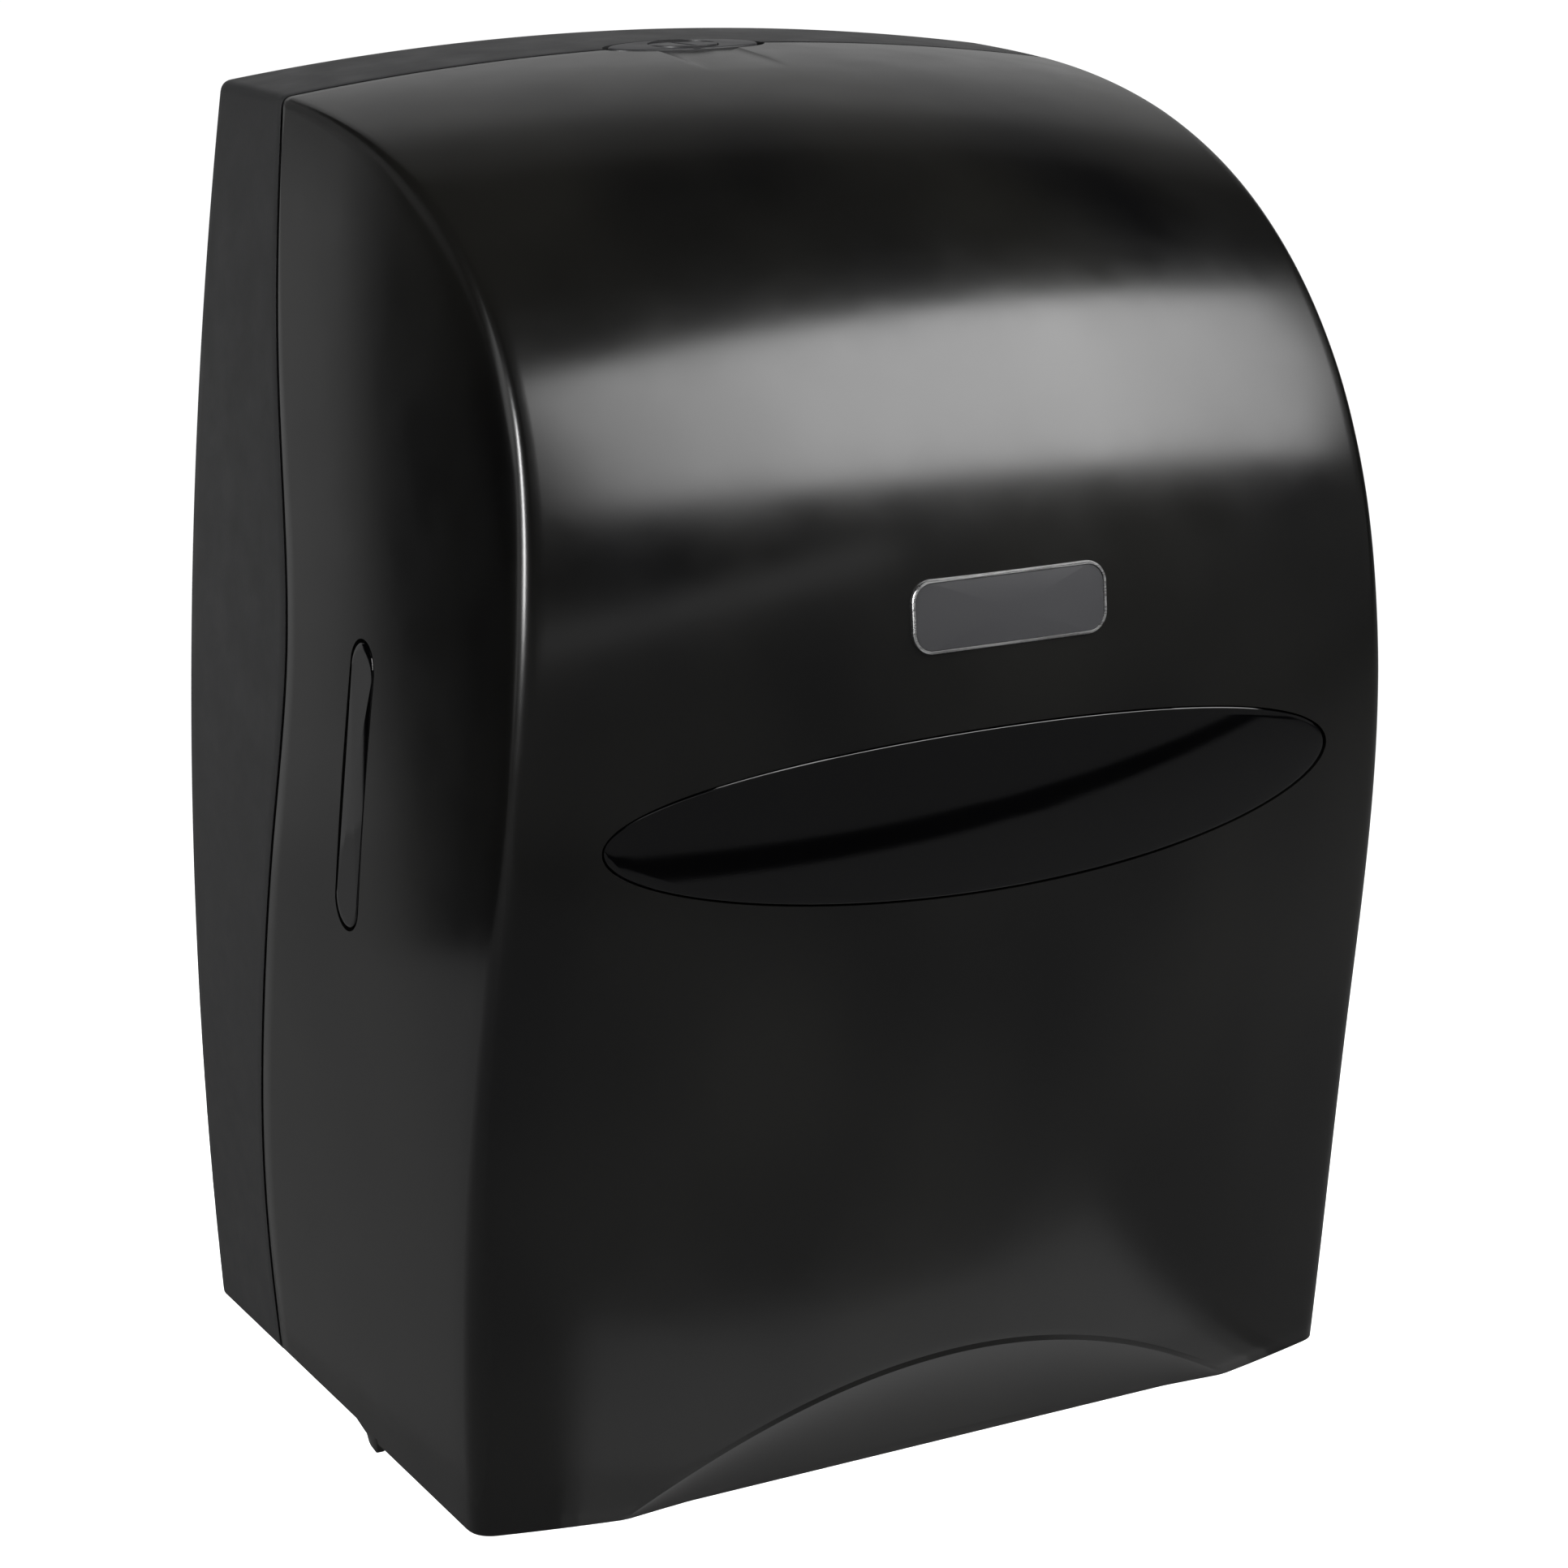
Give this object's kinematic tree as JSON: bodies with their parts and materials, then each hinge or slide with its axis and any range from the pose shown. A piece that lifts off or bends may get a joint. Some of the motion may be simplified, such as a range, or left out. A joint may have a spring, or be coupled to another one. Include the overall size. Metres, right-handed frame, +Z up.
{
  "type": "roll towel dispenser",
  "caption": "Wall-mounted hands-free roll towel dispenser: dark housing, bowed hinged smoke cover with oval window, lock, roll arms and a feed drum with pinch roller and knife.",
  "frame": {"origin": "middle of the wall face, in the centre of the wall-screw pattern", "axes": "+X to the right seen from the front, +Y into the wall, +Z up"},
  "size_m": [0.321, 0.2569, 0.41],
  "materials": {
    "housing_plastic": "fine matte grain, charcoal",
    "cover_smoke": "satin smoke, barely see-through",
    "window_smoke": "polished smoke",
    "badge_satin": "satin, plain",
    "lock_plastic": "fine matte grain",
    "chassis_plastic": "moulded, matte",
    "drum_plastic": "moulded, matte",
    "wheel_plastic": "moulded, matte",
    "bush_nylon": "natural nylon",
    "steel": "zinc plated",
    "spring_steel": "rolled strip",
    "grip_rubber": "matte, fine ribs"
  },
  "bodies": {
    "housing": {"rear_housing": "housing_plastic", "lock_escutcheon": "lock_plastic", "chassis_base": "chassis_plastic", "chassis_left_plate": "chassis_plastic", "chassis_right_plate": "chassis_plastic", "tie_rods": "steel", "chassis_screws": "steel", "left_roll_arm": "chassis_plastic", "right_arm_bracket": "chassis_plastic", "right_arm_pin": "steel", "arm_leaf_spring": "spring_steel", "exit_chute": "chassis_plastic", "stripper_bar": "chassis_plastic", "drum_bush_left": "bush_nylon", "drum_bush_right": "bush_nylon", "knife_cam_plate": "chassis_plastic", "pinch_leaf_springs": "spring_steel", "detent_spring": "spring_steel", "hinge_pin_left": "steel", "hinge_pin_right": "steel", "paper_guide_bar": "steel"},
    "cover": {"front_cover": "cover_smoke", "sight_window": "window_smoke", "left_sight_strip": "window_smoke", "right_sight_strip": "window_smoke", "badge_plate": "badge_satin", "cover_catch": "chassis_plastic"},
    "lock": {"lock_barrel": "steel", "lock_cam": "steel"},
    "drum": {"drum_shell": "drum_plastic", "drum_end_left": "drum_plastic", "drum_end_right": "drum_plastic", "drum_shaft": "steel", "feed_wheel": "wheel_plastic", "index_cam": "drum_plastic", "drum_grip_bands": "grip_rubber"},
    "knife": {"knife_blade": "steel", "knife_carrier": "drum_plastic", "knife_followers": "steel"},
    "pinch_carriage": {"pinch_block_left": "chassis_plastic", "pinch_block_right": "chassis_plastic"},
    "pinch_roller": {"pinch_shaft": "steel", "pinch_tyres": "grip_rubber"},
    "left_hub": {"left_core_hub": "wheel_plastic"},
    "right_arm": {"right_roll_arm": "chassis_plastic"},
    "right_hub": {"right_core_hub": "wheel_plastic"}
  },
  "joints": [
    {"name": "cover_hinge", "type": "hinge", "parent": "housing", "child": "cover", "pos_m": [0, -0.124, -0.1985], "axis": [1, 0, 0], "range_deg": [0, 95]},
    {"name": "lock_turn", "type": "hinge", "parent": "housing", "child": "lock", "pos_m": [0, -0.05, 0.19], "axis": [0, 0, -1], "range_deg": [0, 90]},
    {"name": "drum_spin", "type": "hinge", "parent": "housing", "child": "drum", "pos_m": [0, -0.12, -0.095], "axis": [1, 0, 0], "continuous": true},
    {"name": "knife_slide", "type": "slide", "parent": "drum", "child": "knife", "axis": [0, -1, 0], "range_m": [0, 0.008]},
    {"name": "pinch_lift", "type": "slide", "parent": "housing", "child": "pinch_carriage", "axis": [0, 0.7071, 0.7071], "range_m": [0, 0.003], "stiffness_N_per_m": 1500, "springref_m": -0.002, "deforming": ["pinch_leaf_springs"]},
    {"name": "pinch_spin", "type": "hinge", "parent": "pinch_carriage", "child": "pinch_roller", "pos_m": [0, -0.0816, -0.0566], "axis": [1, 0, 0], "continuous": true},
    {"name": "left_hub_spin", "type": "hinge", "parent": "housing", "child": "left_hub", "pos_m": [0, -0.115, 0.065], "axis": [1, 0, 0], "continuous": true},
    {"name": "right_arm_swing", "type": "hinge", "parent": "housing", "child": "right_arm", "pos_m": [0.114, -0.023, 0.065], "axis": [0, 0, 1], "range_deg": [0, 10], "stiffness_Nm_per_rad": 3, "springref_deg": -5.73, "deforming": ["arm_leaf_spring"]},
    {"name": "right_hub_spin", "type": "hinge", "parent": "right_arm", "child": "right_hub", "pos_m": [0, -0.115, 0.065], "axis": [1, 0, 0], "continuous": true}
  ],
  "couplings": [
    {"joint": "pinch_spin", "follows": "drum_spin", "ratio": -3.5}
  ]
}
